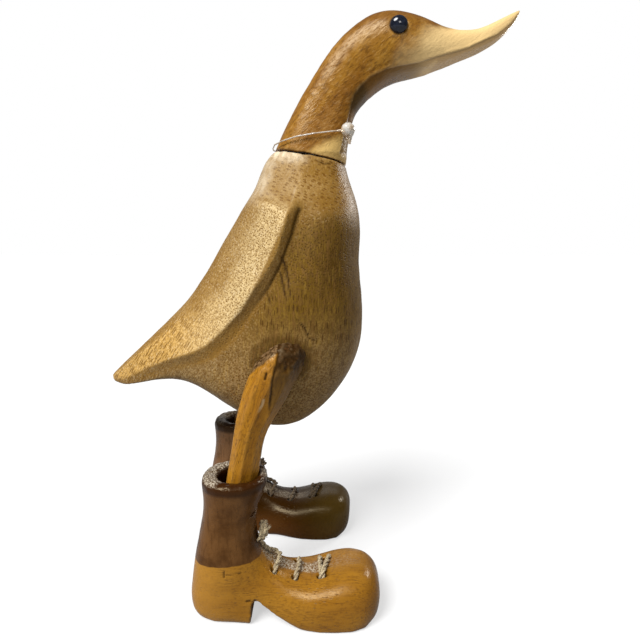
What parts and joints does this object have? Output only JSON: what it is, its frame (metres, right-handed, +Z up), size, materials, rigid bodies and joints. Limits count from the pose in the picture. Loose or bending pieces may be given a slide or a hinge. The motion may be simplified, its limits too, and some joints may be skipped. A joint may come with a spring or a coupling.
{
  "type": "carved wooden duck",
  "caption": "Carved and stained wooden duck with an upstretched bill and cut-out wings, standing on whittled legs in laced ankle boots; an ornament for a shelf or floor.",
  "frame": {"origin": "on the floor, under the middle of the duck's length and width", "axes": "+Z up, +X towards the bill, +Y towards the duck's own left side"},
  "size_m": [0.1736, 0.093, 0.2425],
  "materials": {
    "body_wood": "waxed bamboo root, dotted end grain",
    "head_wood": "stained and varnished, glossy",
    "leg_wood": "stained and varnished, glossy",
    "boot_right_paint": "varnished wood, dark brown painted shaft",
    "boot_left_paint": "dark brown stain over the whole boot, glossy",
    "eye_bead": "black, polished",
    "lace_twine": "twisted jute twine",
    "clear_filament": "milky clear plastic"
  },
  "bodies": {
    "root": {"body": "body_wood", "head_neck": "head_wood", "leg_right": "leg_wood", "leg_left": "leg_wood", "boot_right": "boot_right_paint", "boot_left": "boot_left_paint", "eye_right": "eye_bead", "eye_left": "eye_bead", "lace_right": "lace_twine", "lace_left": "lace_twine", "tag_loop": "clear_filament"}
  },
  "joints": []
}
